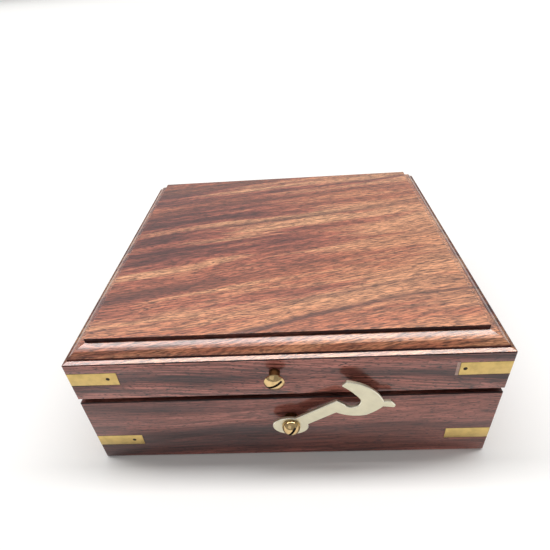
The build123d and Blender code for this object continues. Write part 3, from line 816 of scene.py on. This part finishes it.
class BOX_OT_latch_screws(bpy.types.Operator):
    """Turn the two round headed screws of the latch"""
    bl_idname = "compass_box.latch_screws"
    bl_label = "Latch screws"

    def execute(self, context):
        brass = context.scene.compass_box_brass
        finish = polished_brass("polished_screw_brass", tuple(brass.screw))
        # Painted shade in the screwdriver slot
        slot_shade = dull_surface("slot_dirt", linear("#2B1A0F"), 0.6)
        # Painted shade on the neck under the head
        neck_shade = dull_surface("tarnished_neck_brass", linear("#6E4A2A"), 0.45, 0.9)
        stud = (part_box("latch_stud")[0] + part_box("latch_stud")[1]) / 2
        for node, body, centre, turn, head in (
                ("hook_pivot_screw", "case", PIVOT, brass.pivot_slot, brass.pivot_head),
                ("latch_stud", "lid", stud, brass.stud_slot, brass.stud_head)):
            screw = merged_copy(node, node + "_turned")
            smooth(screw, 30)
            dress(screw, body, "polished_brass", finish, node)
            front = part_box(node)[0].y
            across = Vector((-math.sin(turn), 0, math.cos(turn)))

            def in_slot(face):
                """A wall or the floor of the slot."""
                place = face_centre(face)
                off = (place - Vector(centre)).dot(across)
                beside = abs(abs(off) - brass.slot_width / 2) < 0.05 * MM
                wall = abs(face.normal.dot(across)) > 0.99 and beside
                deep = abs(off) < 0.1 * MM and place.y > front + 0.5 * MM
                floor = face.normal.y < -0.99 and deep
                return (wall or floor) and place.y < front + head

            second_finish(screw, slot_shade, in_slot)
            second_finish(screw, neck_shade, lambda f: face_centre(f).y > front + head)
        return {"FINISHED"}


class BOX_OT_hinges(bpy.types.Operator):
    """Finish the two butt hinges"""
    bl_idname = "compass_box.hinges"
    bl_label = "Hinges"

    def execute(self, context):
        brass = context.scene.compass_box_brass
        finish = sanded_brass("rolled_hinge_brass", tuple(brass.strap), 0.34)
        steel = dull_surface("hinge_pin_steel", linear("#8C8478"), 0.35, 1.0)
        for lr in ("left", "right"):
            paint("hinge_base_leaf_" + lr, finish)
            paint("hinge_lid_leaf_" + lr, finish)
            paint("hinge_pin_" + lr, steel)
        paint("hinge_base_screws", finish)
        paint("hinge_lid_screws", finish)
        return {"FINISHED"}


class BOX_OT_lining(bpy.types.Operator):
    """Cover the liner and stuff the cushions"""
    bl_idname = "compass_box.lining"
    bl_label = "Velvet lining"

    def execute(self, context):
        colours = context.scene.compass_box_velvet
        finish = velvet("red_velvet", tuple(colours.pile), tuple(colours.shade))
        liner = merged_copy("base_liner", "base_liner_covered")
        smooth(liner)
        dress(liner, "case", "velvet", finish, "base_liner")
        for node, body, glued, swell in (("recess_cushion", "case", 0, colours.recess_swell),
                                         ("lid_cushion", "lid", 1, colours.lid_swell)):
            pad = stuffed_pad(node, glued, swell, colours.cell)
            smooth(pad, 60)
            dress(pad, body, "velvet", finish, node)
        return {"FINISHED"}


class BOX_OT_stage(bpy.types.Operator):
    """Set up the floor, the soft lights and the camera"""
    bl_idname = "compass_box.stage"
    bl_label = "Stage"

    def execute(self, context):
        settings = context.scene.compass_box_stage
        bpy.ops.object.select_all(action="DESELECT")
        bpy.ops.mesh.primitive_plane_add(size=30.0, location=(0, 0, BASE_LOW.z))
        floor = bpy.context.object
        floor.name = "pale_floor"
        floor.data.materials.append(plain_floor("pale_floor_paint", tuple(settings.floor)))

        def softbox(name, place, size, brightness):
            """A rectangular lamp that looks at the box: brightness is that of its face."""
            bpy.ops.object.light_add(type="AREA", location=place)
            lamp = bpy.context.object
            lamp.name = name
            lamp.data.shape = "RECTANGLE"
            lamp.data.size, lamp.data.size_y = size
            lamp.data.energy = brightness * math.pi * size[0] * size[1]
            lamp.rotation_euler = (-Vector(place)).to_track_quat("-Z", "Y").to_euler()

        # A long strip, high behind: ledges that lean to the front catch it along their length
        softbox("overhead_strip", place=(0, 1.82, 10.34), size=(22.0, 2.2), brightness=9.8)
        softbox("front_softbox", place=(-4.0, -9.0, 7.0), size=(8.0, 8.0), brightness=0.4)

        world = bpy.data.worlds.new("soft_room")
        world.use_nodes = True
        feed(world.node_tree, world.node_tree.nodes["Background"], {
            "Color": opaque("#FFFFFF"), "Strength": 0.36})
        scene = context.scene
        scene.world = world
        scene.view_settings.view_transform = "Standard"

        lens = bpy.data.cameras.new("photo_camera")
        lens.sensor_width = 36.0
        lens.lens = settings.camera_lens
        lens.clip_start = 1 * MM
        camera = bpy.data.objects.new("photo_camera", lens)
        scene.collection.objects.link(camera)
        yaw, pitch, roll = settings.camera_yaw, settings.camera_pitch, settings.camera_roll
        forward = Vector((-math.sin(yaw) * math.cos(pitch), math.cos(yaw) * math.cos(pitch),
                          -math.sin(pitch)))
        right = Vector((math.cos(yaw), math.sin(yaw), 0))
        up = right.cross(forward)
        right_rolled = right * math.cos(roll) - up * math.sin(roll)
        up_rolled = right * math.sin(roll) + up * math.cos(roll)
        turn = Matrix((right_rolled, up_rolled, -forward)).transposed().to_4x4()
        camera.matrix_world = Matrix.Translation(settings.camera_place) @ turn
        scene.camera = camera
        return {"FINISHED"}


class BOX_PT_panel(bpy.types.Panel):
    """The steps of the box, in order"""
    bl_label = "Compass Box"
    bl_idname = "BOX_PT_panel"
    bl_space_type = "VIEW_3D"
    bl_region_type = "UI"
    bl_category = "Compass Box"

    def draw(self, context):
        for step in STEPS:
            self.layout.operator(step.bl_idname)


# In the order of work: the board wears finishes that the walls' step mixes
STEPS = (BOX_OT_walls, BOX_OT_lid_board, BOX_OT_straps, BOX_OT_hook, BOX_OT_latch_screws,
         BOX_OT_hinges, BOX_OT_lining, BOX_OT_stage)
GROUPS = {"compass_box_moulding": MouldingSettings, "compass_box_wood": WoodSettings,
          "compass_box_brass": BrassSettings, "compass_box_velvet": VelvetSettings,
          "compass_box_stage": StageSettings}


def register():
    for group in GROUPS.values():
        bpy.utils.register_class(group)
    for name, group in GROUPS.items():
        setattr(bpy.types.Scene, name, PointerProperty(type=group))
    for step in STEPS:
        bpy.utils.register_class(step)
    bpy.utils.register_class(BOX_PT_panel)


def unregister():
    bpy.utils.unregister_class(BOX_PT_panel)
    for step in reversed(STEPS):
        bpy.utils.unregister_class(step)
    for name, group in GROUPS.items():
        delattr(bpy.types.Scene, name)
        bpy.utils.unregister_class(group)


def main():
    register()
    for step in STEPS:
        group, action = step.bl_idname.split(".")
        getattr(getattr(bpy.ops, group), action)()


if __name__ == "__main__":
    main()
